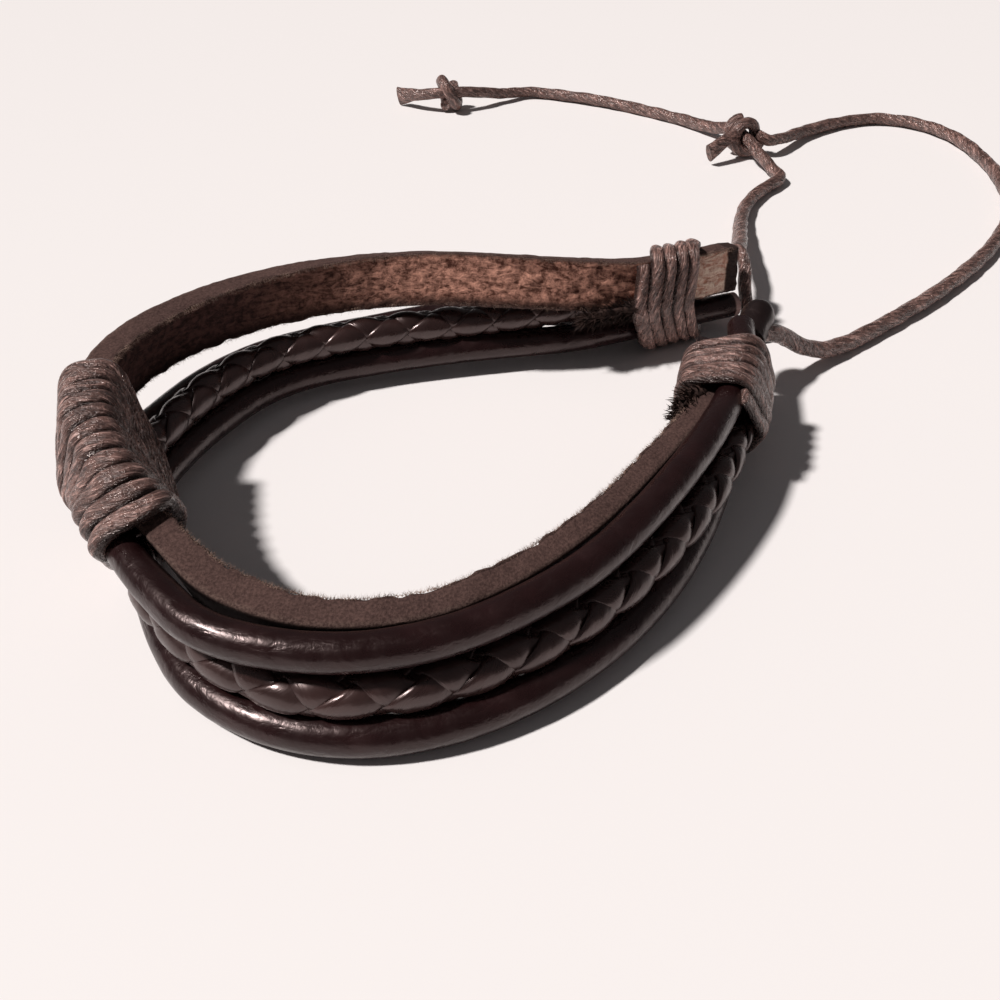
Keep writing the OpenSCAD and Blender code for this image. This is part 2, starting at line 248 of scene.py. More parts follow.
def patchy(rows, cols, tall, wide, seed):
    """Smooth random hills from -1 to 1 over a sheet that closes on itself sideways."""
    draw = np.random.default_rng(seed)
    hills_down = max(2, int(rows / tall) + 2)
    hills_round = max(3, int(round(cols / wide)))
    grid = draw.uniform(-1, 1, (hills_down, hills_round))
    y = np.arange(rows) / tall
    x = np.arange(cols) * hills_round / cols
    row = y.astype(int)
    col = x.astype(int)
    down = soft_step(y - row)[:, None]
    right = soft_step(x - col)[None, :]
    here = grid[row]
    below = grid[np.minimum(row + 1, hills_down - 1)]
    this, following = col % hills_round, (col + 1) % hills_round
    here = here[:, this] * (1 - right) + here[:, following] * right
    below = below[:, this] * (1 - right) + below[:, following] * right
    return here * (1 - down) + below * down


print("hills from", patchy(40, 12, 5, 3, 1).min().round(2), "to", patchy(40, 12, 5, 3, 1).max().round(2))

# %% [markdown]
# Shader maths reads best as maths. This small class wraps a node's output socket, so that plus, minus
# and times between sockets and numbers each add the Math node they stand for. One method adds any
# other node. A Mix node has a set of sockets for each kind of value, so those for colours are named
# by their numbers.

# %% Shader maths as Python expressions
MIX_COLOUR_A = 6
MIX_COLOUR_B = 7
MIX_COLOUR_OUT = 2


class Wire:
    """An output socket of a node, on which sums can be written."""

    def __init__(self, graph, socket):
        self.graph = graph
        self.socket = socket

    def math(self, operation, *others):
        return self.graph.node("ShaderNodeMath", {"operation": operation},
                               dict(enumerate((self,) + others)))

    def __add__(self, other):
        return self.math("ADD", other)

    def __sub__(self, other):
        return self.math("SUBTRACT", other)

    def __mul__(self, other):
        return self.math("MULTIPLY", other)

    __radd__ = __add__
    __rmul__ = __mul__

    def __rsub__(self, other):
        return self * -1 + other

    def __abs__(self):
        return self.math("ABSOLUTE")

    def band(self, low, high, to_low=0.0, to_high=1.0):
        """A soft step from one value to another as this value goes from low to high."""
        return self.graph.node("ShaderNodeMapRange", {"interpolation_type": "SMOOTHSTEP"}, {
            "Value": self, "From Min": low, "From Max": high, "To Min": to_low, "To Max": to_high})


class Graph:
    """A material's node tree, with one Principled shader at its end."""

    def __init__(self, name):
        self.material = bpy.data.materials.new(name)
        self.material.use_nodes = True
        self.tree = self.material.node_tree
        self.shader = self.tree.nodes["Principled BSDF"]

    def put(self, socket, value):
        """Link a wire to a socket, or set the socket's own number or colour."""
        if isinstance(value, Wire):
            self.tree.links.new(value.socket, socket)
        elif isinstance(value, tuple):
            socket.default_value = (*value, 1)
        else:
            socket.default_value = value

    def node(self, kind, settings, inputs, output=0):
        """Any node, from its settings and what goes into its sockets."""
        node = self.tree.nodes.new(kind)
        for key, value in settings.items():
            setattr(node, key, value)
        for key, value in inputs.items():
            self.put(node.inputs[key], value)
        return Wire(self, node.outputs[output])

    def noise(self, vector, scale, detail, roughness=.55, distortion=0.0):
        return self.node("ShaderNodeTexNoise", {}, {
            "Vector": vector, "Scale": scale, "Detail": detail, "Roughness": roughness,
            "Distortion": distortion})

    def mix(self, factor, a, b):
        """Two colours mixed; a colour is a wire or three numbers."""
        return self.node("ShaderNodeMix", {"data_type": "RGBA"},
                         {0: factor, MIX_COLOUR_A: a, MIX_COLOUR_B: b}, MIX_COLOUR_OUT)

    def place(self):
        return self.node("ShaderNodeTexCoord", {}, {}, "Object")

    def lay(self):
        """The three numbers of the note that each vertex keeps."""
        note = self.node("ShaderNodeAttribute", {"attribute_name": "lay"}, {}, "Vector")
        split = self.node("ShaderNodeSeparateXYZ", {}, {0: note})
        return [Wire(self, socket) for socket in split.socket.node.outputs]

    def vector(self, x, y, z):
        return self.node("ShaderNodeCombineXYZ", {}, {"X": x, "Y": y, "Z": z})

    def relief(self, *layers):
        """Bump nodes one on another, each from a height and its depth in millimetres."""
        normal = None
        for height, depth in layers:
            inputs = {"Height": height, "Distance": depth * MM, "Strength": 1.0}
            if normal is not None:
                inputs["Normal"] = normal
            normal = self.node("ShaderNodeBump", {}, inputs)
        self.put(self.shader.inputs["Normal"], normal)

    def finish(self, **sockets):
        """Fill the shader's sockets, named in small letters, and give the material."""
        for key, value in sockets.items():
            key = key.replace("_", " ").title().replace("Ior", "IOR")
            self.put(self.shader.inputs[key], value)
        return self.material


print("shader helpers ready")

# %% [markdown]
# Round leather cord is dyed nearly black with a little red left in it. Its grain is sealed, so it shines
# in long streaks, and the streaks break up where the skin is creased by bending. Fine noise for the
# grain, noise stretched along the cord for the streaks and round it for the creases, and a thin coat
# give that. They read the note of the distance along the cord, so they follow every bend, which a
# pattern fixed in space would not. The dye doesn't reach into a fresh cut, so the first half
# millimetre of a cord is paler. A piece whose start shows no cut has a number added to its notes.

# %% Finish of the leather cords
FRESH_CUT = (.42, .27, .25)
CUT_ENDS_AT = .75
CUT_FULL_AT = .45


def cord_leather(name, tint, crease, gloss, shine):
    """Dyed cord: its colour, how deep its creases are, and how rough and strong its shine is."""
    g = Graph(name)
    where = g.place()
    c, s, along = g.lay()
    grain = g.noise(where, 2600, 2)
    streaks = g.noise(g.vector(c * 1.3, s * 1.3, along * .5), 1.1, 3, .5, .5)
    creases = g.noise(g.vector(c * .8, s * .8, along * .9), 1.9, 3, .55, .8)
    cloud = g.noise(where, 240, 3)
    paler = tuple(v * 2 + .002 for v in tint)
    worn = tuple(v * 3 + .01 for v in tint)
    colour = g.mix(cloud.band(.4, .75) * .6, tint, paler)
    colour = g.mix(creases.band(.66, .8) * .35, colour, worn)
    colour = g.mix(along.band(CUT_ENDS_AT, CUT_FULL_AT), colour, FRESH_CUT)
    g.relief((streaks, .12 * crease), (creases, .03 * crease), (grain, .004))
    return g.finish(base_color=colour, roughness=streaks.band(.3, .7, gloss, gloss + .14),
                    specular_ior_level=shine, specular_tint=(1, .78, .76),
                    coat_weight=.12, coat_roughness=.16)


round_leather = cord_leather("round_leather", (.011, .0034, .0036), 1.0, .24, .5)
lace_leather = cord_leather("lace_leather", (.024, .0115, .0105), .6, .24, .8)
cap_leather = cord_leather("cap_leather", (.007, .0035, .0035), 1.2, .3, .5)
print("leather finishes", round_leather.name, lace_leather.name, cap_leather.name)

# %% [markdown]
# Where a strand is cut, its end shows a rim, pressed a little outwards by the knife, and a paler core
# inside it. A second piece could be set on the end, but the seam would show. Two insets do it instead:
# edit mode shrinks the end face twice, the first time a little outwards, the second time a little
# inwards. An end face is the only one on a rolled sheet with more than four sides, so it is easily
# found. The faces that stay selected are the core, and get its material.

# %% Cut ends of a strand
SIDES_OF_A_FACE = 4
RIM_WIDTH = .22 * MM
RIM_SWELL = .18 * MM
CORE_STEP = .35 * MM
CORE_SINK = .12 * MM


def cut_ends(piece, core):
    """Inset both end faces of a tube, and give the core a material of its own."""
    piece.data.materials.append(core)
    bpy.ops.object.select_all(action="DESELECT")
    piece.select_set(True)
    bpy.context.view_layer.objects.active = piece
    bpy.ops.object.mode_set(mode="EDIT")
    bpy.ops.mesh.select_mode(type="FACE")
    bpy.ops.object.mode_set(mode="OBJECT")
    for polygon in piece.data.polygons:
        polygon.select = len(polygon.vertices) > SIDES_OF_A_FACE
    bpy.ops.object.mode_set(mode="EDIT")
    bpy.ops.mesh.inset(thickness=RIM_WIDTH, depth=RIM_SWELL)
    bpy.ops.mesh.inset(thickness=CORE_STEP, depth=-CORE_SINK)
    bpy.ops.object.mode_set(mode="OBJECT")
    for polygon in piece.data.polygons:
        if polygon.select:
            polygon.material_index = 1
    bpy.ops.object.select_all(action="DESELECT")


raw = Graph("raw_leather")
raw_speckle = raw.noise(raw.place(), 2600, 3)
raw_core = raw.finish(base_color=raw.mix(raw_speckle, (.09, .05, .035), (.24, .15, .11)), roughness=.8)
print("core finish", raw_core.name)

# %% [markdown]
# The two round cords are rolled sheets of twenty-four columns. A bevelled curve would be quicker, but
# small hills in the radius keep the highlight from being a perfect line. Both cords are lifted a
# little above their routes at the loop's far side, and the lower one, which is a touch thicker, also
# at its near side, so that they touch the braid there, as the real ones do. Each finished piece stands
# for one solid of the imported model, which it hides, and moves with that solid's body.

# %% Round cords
ROUND_RADIUS = 1.5
LOWER_RADIUS = 1.57
ROUND_COLS = 24


def stand_for(piece, node):
    """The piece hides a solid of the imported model, and moves with its body."""
    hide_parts(node)
    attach(piece, "root")


def round_cord(name, route, radius, seed, far_lift, near_lift):
    """A round cord, lifted by some millimetres at the loop's far and near side."""
    line, at = evenly(smooth(route, 12), .35)
    far_side = hump(line[:, 0], 4, 10) * (line[:, 1] > 0)
    near_side = hump(line[:, 0], 9, 8) * (line[:, 1] < 0)
    line[:, 2] += radius - ROUND_RADIUS + far_lift * far_side
    line[:, 2] += near_lift * near_side
    side, up = upright(line)
    notes, angle = ring_notes(at, ROUND_COLS)
    hills = (.012 * patchy(len(line), ROUND_COLS, 9, 6, seed)
             + .008 * patchy(len(line), ROUND_COLS, 3, 4, seed + 1))
    piece = rolled(name, round_rings(line, radius * line[:, 3:4] * (1 + hills), angle, side, up), notes)
    piece.data.materials.append(round_leather)
    return piece


upper_cord = round_cord("upper_cord", UPPER, ROUND_RADIUS, seed=11, far_lift=.9, near_lift=0)
lower_cord = round_cord("lower_cord", LOWER, LOWER_RADIUS, seed=21, far_lift=.3, near_lift=.35)
for piece, node in ((upper_cord, "round_cord_upper"), (lower_cord, "round_cord_lower")):
    cut_ends(piece, raw_core)
    stand_for(piece, node)
print("round cords", [len(p.data.polygons) for p in (upper_cord, lower_cord)])

# %% [markdown]
# A round braid of four laces is two helices that turn one way and two that turn the other. At each
# quarter of the way round, laces cross, and there one of the two directions is always on top: that is
# what makes the columns of leaves. An array modifier could repeat one leaf along a curve, but real
# laces run through. So each lace is a flat ribbon on a helix, whose distance from the middle rises and
# falls twice in a turn, and whose sides bend down round the braid.

# %% Laces of the braid
# Millimetres, but for the angle of a column and the hurry, which is how unevenly a lace goes round.
LACE_PITCH = 9.6
LACE_COLUMN = math.radians(-8)
LACE_FROM_MIDDLE = 1.3
LACE_WEAVE = .27
LACE_HURRY = .2
LACE_HALF_WIDTH = 1.4
LACE_HALF_THICKNESS = .32
LACE_BEND = .2
LACE_COLS = 20
BRAID_DROP = .3
PAST_THE_CUT = 400


def boxy(wave, power):
    """A sine or cosine made fuller, for a section between round and square."""
    return np.sign(wave) * np.abs(wave) ** power


def lace(name, turn, start, over):
    """One lace: which way it turns, its angle at the start, and whether it lies over or under there."""
    line, at = evenly(smooth(BRAID, 12), .3)
    side, up = upright(line)
    line[:, 2] -= BRAID_DROP
    steady = start + turn * 2 * np.pi * at / LACE_PITCH
    theta = steady - turn * over * LACE_HURRY * np.sin(2 * (steady - LACE_COLUMN))
    wave = over * np.cos(2 * (theta - LACE_COLUMN))
    wave = wave * (1.4 - .4 * wave ** 2)
    share = line[:, 3:4]
    out = np.cos(theta)[:, None] * side + np.sin(theta)[:, None] * up
    middle = line[:, :3] + (LACE_FROM_MIDDLE + LACE_WEAVE * wave[:, None]) * share * out
    notes, angle = ring_notes(at, LACE_COLS)
    across = LACE_HALF_WIDTH * boxy(np.cos(angle), .8) * share
    outward = LACE_HALF_THICKNESS * boxy(np.sin(angle), .6) * share - LACE_BEND * across ** 2
    notes[..., 2] += PAST_THE_CUT
    piece = rolled(name, flat_rings(middle, out, across, outward), notes)
    piece.data.materials.append(lace_leather)
    return piece


braid_pieces = [
    lace("lace_a", 1, LACE_COLUMN, 1), lace("lace_b", 1, LACE_COLUMN + math.pi, 1),
    lace("lace_c", -1, LACE_COLUMN, -1), lace("lace_d", -1, LACE_COLUMN + math.pi, -1)]
print("laces", [len(p.data.polygons) for p in braid_pieces])

# %% [markdown]
# Between the laces a dark core shows, which fills the braid as a real one is filled by its own laces.
# It is a plain round tube. The near end of the braid is closed by a dark rounded cap, beside the place
# where the short tie starts. The cap is a rolled sheet too: a short shaft, then rings that shrink as a
# ball's do, so it needs no second piece to be joined on.

# %% Core and end cap of the braid
CORE_RADIUS = 1.38
CORE_COLS = 14
core_line, core_at = evenly(smooth(BRAID, 8), .8)
core_side, core_up = upright(core_line)
core_line[:, 2] -= BRAID_DROP
core_notes, core_angle = ring_notes(core_at, CORE_COLS)
core_rings = round_rings(core_line, CORE_RADIUS * core_line[:, 3:4], core_angle, core_side, core_up)
braid_core = rolled("braid_core", core_rings, core_notes)
braid_core.data.materials.append(lace_leather)

CAP_START = (30.2, 20.9, 7.2)
CAP_WAY = (1.7, 4, 1.2)
CAP_RADIUS = 1.75
CAP_SHAFT = 4
CAP_COLS = 24
CAP_PAST_THE_CUT = 9
dome = CAP_RADIUS * np.sin(np.linspace(.08, 1.5, 12))
cap_at = np.concatenate([np.linspace(0, CAP_SHAFT, 12), CAP_SHAFT + dome])
cap_rows = len(cap_at)
in_dome = np.maximum(cap_at - CAP_SHAFT, 0)
cap_hills = .04 * patchy(cap_rows, CAP_COLS, 5, 5, 29)
cap_radius = np.sqrt(CAP_RADIUS ** 2 - in_dome ** 2)[:, None] * (1 + cap_hills)
cap_ahead = unit(np.array(CAP_WAY))
cap_side = unit(np.cross(cap_ahead, (0, 0, 1)))
cap_up = np.cross(cap_side, cap_ahead)
cap_line = np.array(CAP_START) + SHIFT + cap_at[:, None] * cap_ahead
cap_notes, cap_angle = ring_notes(cap_at + CAP_PAST_THE_CUT, CAP_COLS)
cap_rings = round_rings(cap_line, cap_radius, cap_angle,
                        np.tile(cap_side, (cap_rows, 1)), np.tile(cap_up, (cap_rows, 1)))
end_cap = rolled("braid_end_cap", cap_rings, cap_notes)
end_cap.data.materials.append(cap_leather)
braid_pieces += [braid_core, end_cap]
for piece in braid_pieces:
    stand_for(piece, "braided_cord")
print("braid pieces", [p.name for p in braid_pieces])

# %% [markdown]
# The flat strap is one thick strip of leather, whose edges were cut and then worn a little round. A
# long cube with a bevel could be bent along a curve, but then no vertex would know its face. So the
# strap is a rolled sheet too, with a rounded rectangle as its section. The points of the section are
# spread evenly, so that what is rough on them is equally rough on the faces and on the edges.

# %% Section of the strap
STRAP_HALF_HEIGHT = 2.8
STRAP_HALF_THICKNESS = 1.1
STRAP_CORNER = .38
STRAP_COLS = 56


def round_box(half_up, half_across, corner, count):
    """Points of a rounded rectangle, evenly round it, and the way out at each."""
    a = half_up - corner
    b = half_across - corner
    centres = np.array([(a, b), (-a, b), (-a, -b), (a, -b)])
    quarter = np.pi * corner / 2
    runs = [2 * b, quarter, 2 * a, quarter, 2 * b, quarter, 2 * a, quarter]
    ends = np.cumsum(runs)
    points, ways = [], []
    for d in (np.arange(count) + .5) / count * ends[-1]:
        run = int(np.searchsorted(ends, d))
        f = (d - (ends[run] - runs[run])) / runs[run]
        turn = run // 2
        centre = centres[turn]
        if run % 2:
            angle = math.radians(90 * (turn + f))
        else:
            angle = math.radians(90 * turn)
            centre = centres[turn - 1] + (centre - centres[turn - 1]) * f
        way = np.array([math.cos(angle), math.sin(angle)])
        points.append(centre + corner * way)
        ways.append(way)
    return np.array(points), np.array(ways)


def leaning(line):
    """Upward and outward directions of the strap, which leans as its route says."""
    side, _ = upright(line)
    out = unit(side * (1, 1, 0))
    lean = np.radians(line[:, 3:4])
    straight_up = np.array([[0, 0, 1]])
    return (np.sin(lean) * out + np.cos(lean) * straight_up,
            np.cos(lean) * out - np.sin(lean) * straight_up)


box_points, box_ways = round_box(STRAP_HALF_HEIGHT, STRAP_HALF_THICKNESS, STRAP_CORNER, STRAP_COLS)
box_up, box_across = box_points.T
print("section of the strap", np.ptp(box_points, axis=0).round(1), "mm")

# %% [markdown]
# The strap's outer face is smooth, its inner face is the rough flesh side, and its cut edges are suede.
# So the flesh side and the edges get hills, and the inner rims wander in and out, as a knife leaves
# them. A noise texture alone would not show in the outline. The note on each vertex says how far
# along, up and across the strap it lies. The far stub is lowered to lie level, and near its other end
# the strap is pushed outward, where the wrap pulls it to the upper cord.

# %% Strap
STUB_DROP = 1.1
STUB_LENGTH = 9
NEAR_PUSH = .55
PUSH_FROM_END = 11
PUSH_LENGTH = 7

strap_line, strap_at = evenly(smooth(STRAP, 12), .28)
strap_line[:, 2] -= STUB_DROP * np.clip(1 - strap_at / STUB_LENGTH, 0, 1) ** 1.3
strap_along = tangents(strap_line)
strap_up, strap_face = leaning(strap_line)
strap_rows = len(strap_line)
strap_push = NEAR_PUSH * hump(strap_at, strap_at[-1] - PUSH_FROM_END, PUSH_LENGTH)[:, None]


def strap_hills(tall, wide, seed):
    return patchy(strap_rows, STRAP_COLS, tall, wide, seed)


on_flesh = np.clip((-box_ways[:, 1] - .2) / .6, 0, 1)
on_cut = np.abs(box_ways[:, 0])
flesh_hills = .11 * strap_hills(5, 3.5, 31) + .12 * strap_hills(2.2, 1.8, 32)
cut_hills = .05 * strap_hills(5, 4, 33) + .04 * strap_hills(2, 2, 34)
hills = on_flesh * flesh_hills + on_cut * cut_hills
ragged = .07 * strap_hills(3, STRAP_COLS, 35) + .05 * strap_hills(1.7, STRAP_COLS, 36)
inner_rim = hump(box_across, -STRAP_HALF_THICKNESS, .12 ** .5) * (np.abs(box_up) > 2.2)
upward = box_up + box_ways[:, 0] * hills
outward = box_across * strap_line[:, 4:5] + box_ways[:, 1] * hills - ragged * inner_rim + strap_push
strap_rings = (strap_line[:, None, :3] + upward[..., None] * strap_up[:, None]
               + outward[..., None] * strap_face[:, None])
strap_notes = np.stack(np.broadcast_arrays(strap_at[:, None], box_up[None], box_across[None]), 2)
strap = rolled("strap", strap_rings, strap_notes)
stand_for(strap, "flat_strap")
print("strap", len(strap.data.polygons), "faces,", round(strap_at[-1]), "mm long")

# %% [markdown]
# The strap shows three kinds of leather. The outer skin is nearly black. The flesh side is torn fibre:
# reddish brown with dark pits at the far side, darker towards the middle wrap and along its lower edge,
# and pale tan where it comes out of the far wrap. That tan is partly the flesh's own colour and partly
# painted light: it is made as bright as a colour can be, because the sun reaches the stub only at a graze.
# The cut edges are brown suede with a painted highlight along the upper outer rim, and almost black at
# the near stub. The far stub's last two millimetres carry painted shade, darker on every face. One
# material holds all three, because the notes say on which face a point lies, and masks made from them
# blend softly, where separate materials would meet in a hard line.

# %% Finish of the strap
def strap_leather():
    g = Graph("strap_leather")
    where = g.place()
    along, up, across = g.lay()
    flesh = across.band(-.8, -1.02)
    cut = abs(up).band(2.4, 2.7)
    crumbs = g.noise(where, 1500, 5, .72, .3)
    flakes = g.noise(g.vector(along * .5, up * 1.5, across), .9, 5, .65, 1.6)
    nap = g.noise(where, 4300, 4, .7)
    grain = g.noise(where, 3400, 2)
    cloud = g.noise(where, 180, 3)
    rough = crumbs * .5 + flakes * .5
    tone = rough.band(.38, .62)

    # How far along the strap its far side, its far stub, that stub's very end and its near end are.
    far = along.band(62, 36)
    stub = along.band(9.5, 8) * along.band(1.7, 2.1)
    stub_end_painted_shade = along.band(2.1, 1.7)
    near_end = float(strap_at[-1])

    flesh_dark = g.mix(tone, (.022, .009, .008), (.10, .045, .038))
    flesh_red = g.mix(tone, (.075, .024, .015), (.64, .32, .235))
    # Partly painted light: the stub's tan is as bright as a colour can be, as the sun reaches it only at a
    # graze.
    flesh_tan_with_painted_light = g.mix(tone, (.58, .27, .19), (1, .80, .66))
    flesh_colour = g.mix(stub, g.mix(far, flesh_dark, flesh_red), flesh_tan_with_painted_light)
    # Darker along the lower edge of the flesh side, but not on the stub.
    darker_lower_flesh = (up * -1 + flakes * 2.2 - 1.1).band(1.3, 2.4)
    flesh_colour = g.mix(darker_lower_flesh * (1 - stub) * .85, flesh_colour, (.02, .0085, .007))

    mottled = nap.band(.32, .7) * .8 + cloud.band(.35, .7) * .2
    suede = g.mix(mottled, (.044, .023, .020), (.122, .069, .059))
    suede = g.mix(along.band(near_end - 14, near_end - 5), suede, (.016, .008, .008))
    skin = g.mix(cloud.band(.4, .7), (.007, .0035, .0035), (.016, .009, .0085))

    colour = g.mix(flesh, skin, flesh_colour)
    colour = g.mix(cut, colour, suede)
    # Painted highlight along the upper outer rim of the cut edges.
    painted_rim_highlight = across.band(.62, .9) * cut * up.band(0, 1)
    colour = g.mix(painted_rim_highlight * nap.band(.35, .7) * .5, colour, (.16, .11, .09))
    # Painted shade: the far stub's last two millimetres are darkened on every face.
    colour = g.mix(stub_end_painted_shade, colour, g.mix(nap.band(.3, .7), (.02, .010, .009), (.05, .028, .023)))
    soft = flesh.math("MAXIMUM", cut)
    g.relief((rough * flesh, .55), (nap * cut, .12), (grain, .02))
    return g.finish(base_color=colour, roughness=soft * .35 + .55, specular_ior_level=.22)


strap.data.materials.append(strap_leather())
cut_ends(strap, raw_core)
print("strap finish", strap.data.materials[0].name)

# %% [markdown]
# Suede and flesh sides shed short fibres, and against a pale table they make the strap's inner rims look
# furry. Blender's hair would do, but it isn't a mesh, and hair is lost when a model is exported as
# meshes. So each fibre is a thin three-sided spike with a bend in it, and a few thousand of them are one
# mesh, because as many objects would be slow to draw.

# %% Fibres
SPIKE_SECTIONS = 3
SPIKE_CORNERS = (0, 2.094, 4.189)


def spikes(name, roots, ways, size, thick, seed, curl=.5):
    """Tapering bent fibres as one mesh: roots and directions in millimetres."""
    draw = np.random.default_rng(seed)
    n = len(roots)
    ways = unit(ways)
    side = unit(np.cross(ways, unit(draw.normal(size=(n, 3)))))
    other = np.cross(ways, side)
    size = np.broadcast_to(size, n)[:, None]
    points = []
    for k in range(SPIKE_SECTIONS):
        f = k / SPIKE_SECTIONS
        middle = roots + ways * size * f + side * size * curl * f * f
        radius = thick * (1 - .75 * f)
        for angle in SPIKE_CORNERS:
            points.append(middle + radius * (math.cos(angle) * side + math.sin(angle) * other))
    points.append(roots + ways * size + side * size * curl)
    points = np.stack(points, 1)
    faces = []
    for k in range(SPIKE_SECTIONS - 1):
        for a in range(3):
            b = (a + 1) % 3
            faces.append((3 * k + a, 3 * k + b, 3 * k + 3 + b, 3 * k + 3 + a))
    tip = 3 * SPIKE_SECTIONS
    last = tip - 3
    faces += [(last, last + 1, tip), (last + 1, last + 2, tip), (last + 2, last, tip), (2, 1, 0)]
    every = [tuple(i * (tip + 1) + v for v in face) for i in range(n) for face in faces]
    mesh = bpy.data.meshes.new(name)
    mesh.from_pydata((points.reshape(-1, 3) * MM).tolist(), [], every)
    piece = bpy.data.objects.new(name, mesh)
    bpy.context.scene.collection.objects.link(piece)
    return piece


def rim_fibres(name, up_side, count, long, seed):
    """Fibres on one of the strap's two inner rims, rooted just under its rounded corner."""
    draw = np.random.default_rng(seed)
    k = draw.integers(4, strap_rows - 4, count)
    turn = draw.uniform(-.2, 1.3, count)
    root_corner = STRAP_CORNER - .05
    up = up_side * (STRAP_HALF_HEIGHT - STRAP_CORNER + root_corner * np.sin(turn))
    out = (-STRAP_HALF_THICKNESS * strap_line[k, 4] + STRAP_CORNER - root_corner * np.cos(turn)
           + strap_push[k, 0])
    root = strap_line[k, :3] + up[:, None] * strap_up[k] + out[:, None] * strap_face[k]
    inward = draw.uniform(.6, 1.2, (count, 1))
    upward = draw.uniform(-.3, .5, (count, 1))
    sideways = draw.normal(0, .7, (count, 1))
    way = -strap_face[k] * inward + up_side * strap_up[k] * upward + strap_along[k] * sideways
    piece = spikes(name, root, way, draw.uniform(.3, 1, count) ** 1.5 * long, .016, seed + 1)
    piece.data.materials.append(suede_fibre)
    stand_for(piece, "flat_strap")
    return piece


def fibre_finish(name, scale, low, high, dark, light, **sockets):
    """Fibres that differ in tone from tuft to tuft."""
    g = Graph(name)
    tufts = g.noise(g.place(), scale, 2)
    return g.finish(base_color=g.mix(tufts.band(low, high), dark, light), roughness=.8, **sockets)


suede_fibre = fibre_finish("suede_fibre", 700, .3, .7, (.10, .055, .044), (.34, .22, .17))
rims = [rim_fibres("upper_rim_fibres", 1, count=10000, long=.52, seed=41),
        rim_fibres("lower_rim_fibres", -1, count=6000, long=.55, seed=43)]
print("fibres", [len(p.data.polygons) for p in rims])

# %% [markdown]
# Waxed cotton cord is fine plies twisted together under wax. Seen close, fibres run along the cord at a
# slant, in dark and pale lines, and the wax on their tops glints in small specks. Those glints are a
# painted highlight: pale specks put into the colour. An image of rope could be wrapped round it, but it
# would show its seam. The notes of these cords turn as they go along, so that noise stretched along them
# lies with the fibres and closes without a seam. Three shallow ridges stand for the plies. Where turns
# lie against each other the cord is dark, because no light gets in, so the wound cords are darker at the
# two sides of their section. The far winding gets a paler copy of the finish, painted light for a side
# that the sun reaches only at a graze.

# %% Finish of the waxed cord
TWIST = .4


def waxed(name, dark, light, groove):
    """Waxed cord between two colours; groove is how much darker its two sides are."""
    g = Graph(name)
    where = g.place()
    c, s, along = g.lay()
    plies = abs((s.math("ARCTAN2", c) * 1.5).math("SINE"))
    fibres = g.noise(g.vector(c * 2.1, s * 2.1, along * .55), 1.25, 2, .6, .6)
    picks = g.noise(g.vector(c * 1.3, s * 1.3, along * 1.5), 1.2, 2, .5, .8)
    hairs = g.noise(g.vector(c * 6, s * 6, along * .9), 1.6, 3, .6, .5)
    cloud = g.noise(where, 260, 4)
    tone = fibres.band(.36, .64) * .5 + picks.band(.35, .65) * .25 + hairs.band(.35, .65) * .25
    tone = tone * cloud.band(.25, .75, .65, 1.15)
    # Painted highlight: pale glint specks put into the cord's colour.
    painted_glint = tuple(v * 1.9 + .08 for v in light)
    shade = tuple(v * .6 for v in dark)
    colour = g.mix(tone, dark, light)
    colour = g.mix((fibres * .6 + hairs * .4).band(.55, .64) * .7, colour, painted_glint)
    turn = along * TWIST
    sides = abs(c * turn.math("COSINE") + s * turn.math("SINE"))
    colour = g.mix(sides.band(.6, .98) * groove, colour, shade)
    g.relief((plies * .18 + fibres * 1.1 + picks * .6, .42), (hairs, .07))
    return g.finish(base_color=colour, roughness=picks.band(.42, .58, .42, .2),
                    specular_ior_level=.85, specular_tint=(1, .86, .83))


waxed_cord = waxed("waxed_cord", (.02, .0085, .0075), (.29, .163, .138), 0)
wound_cord = waxed("wound_cord", (.022, .0095, .0085), (.31, .178, .152), .9)
# A paler copy of the wound finish, painted light for the far winding, which the sun reaches only at a
# graze.
painted_light_wound_cord = waxed("painted_light_wound_cord", (.03, .0135, .0115), (.46, .265, .225), .9)
print("waxed finishes", waxed_cord.name, wound_cord.name, painted_light_wound_cord.name)

# %% [markdown]
# Each wrap is one length of waxed cord wound tightly round all four strands. A taut cord lies on the
# bundle as a rubber band would, straight from strand to strand. A helix of one radius could stand for
# it, but it would cut through the strands and hang off them. So each point of a turn is found by asking
# which strand reaches furthest that way, where the strap counts as its four rounded corners. The planes
# of the turns are the rings of the part's sleeves, in order: a place on the table, the way the plane
# faces, and how far it is tilted, in degrees. Only the middle wrap's last plane lies a little further
# on and is turned, so that its last turns fan out.

# %% The bundle and a taut cord round it
MIDDLE = [(-31.5, -.6, -84, 30), (-30.9, -3.2, -78, 18), (-29.4, -6.3, -70, 4), (-27.8, -8.4, -69, -19),
          (-25.2, -11.1, -45, -36)]
FAR = [(20, 32.2, -10, 6), (22.2, 33.1, -9, 6), (24.3, 33.9, -8, 6), (26.2, 34.7, -7, 6)]
NEAR = [(24.8, 8, 66, 24), (25.6, 10.3, 72, 18), (26.4, 12.5, 77, 9), (27.2, 14.7, 82, 0)]
WRAP_GAP = .15
WRAP_MIDDLE_HEIGHT = 6
WRAP_REACH = 14
BRAID_RADIUS = 1.95
BOX_CORNER = .5

bundle = []
for route, radius in ((LOWER, ROUND_RADIUS), (BRAID, BRAID_RADIUS), (UPPER, ROUND_RADIUS)):
    strand = smooth(route, 4)
    bundle.append((strand[:, :3], radius * strand[:, 3]))
strand = smooth(STRAP, 4)
strand_up, strand_face = leaning(strand)
for i in (-1, 1):
    for j in (-1, 1):
        up = i * (STRAP_HALF_HEIGHT - BOX_CORNER)
        out = j * (STRAP_HALF_THICKNESS * strand[:, 4:5] - BOX_CORNER)
        corner = strand[:, :3] + up * strand_up + out * strand_face
        bundle.append((corner, np.full(len(strand), BOX_CORNER)))


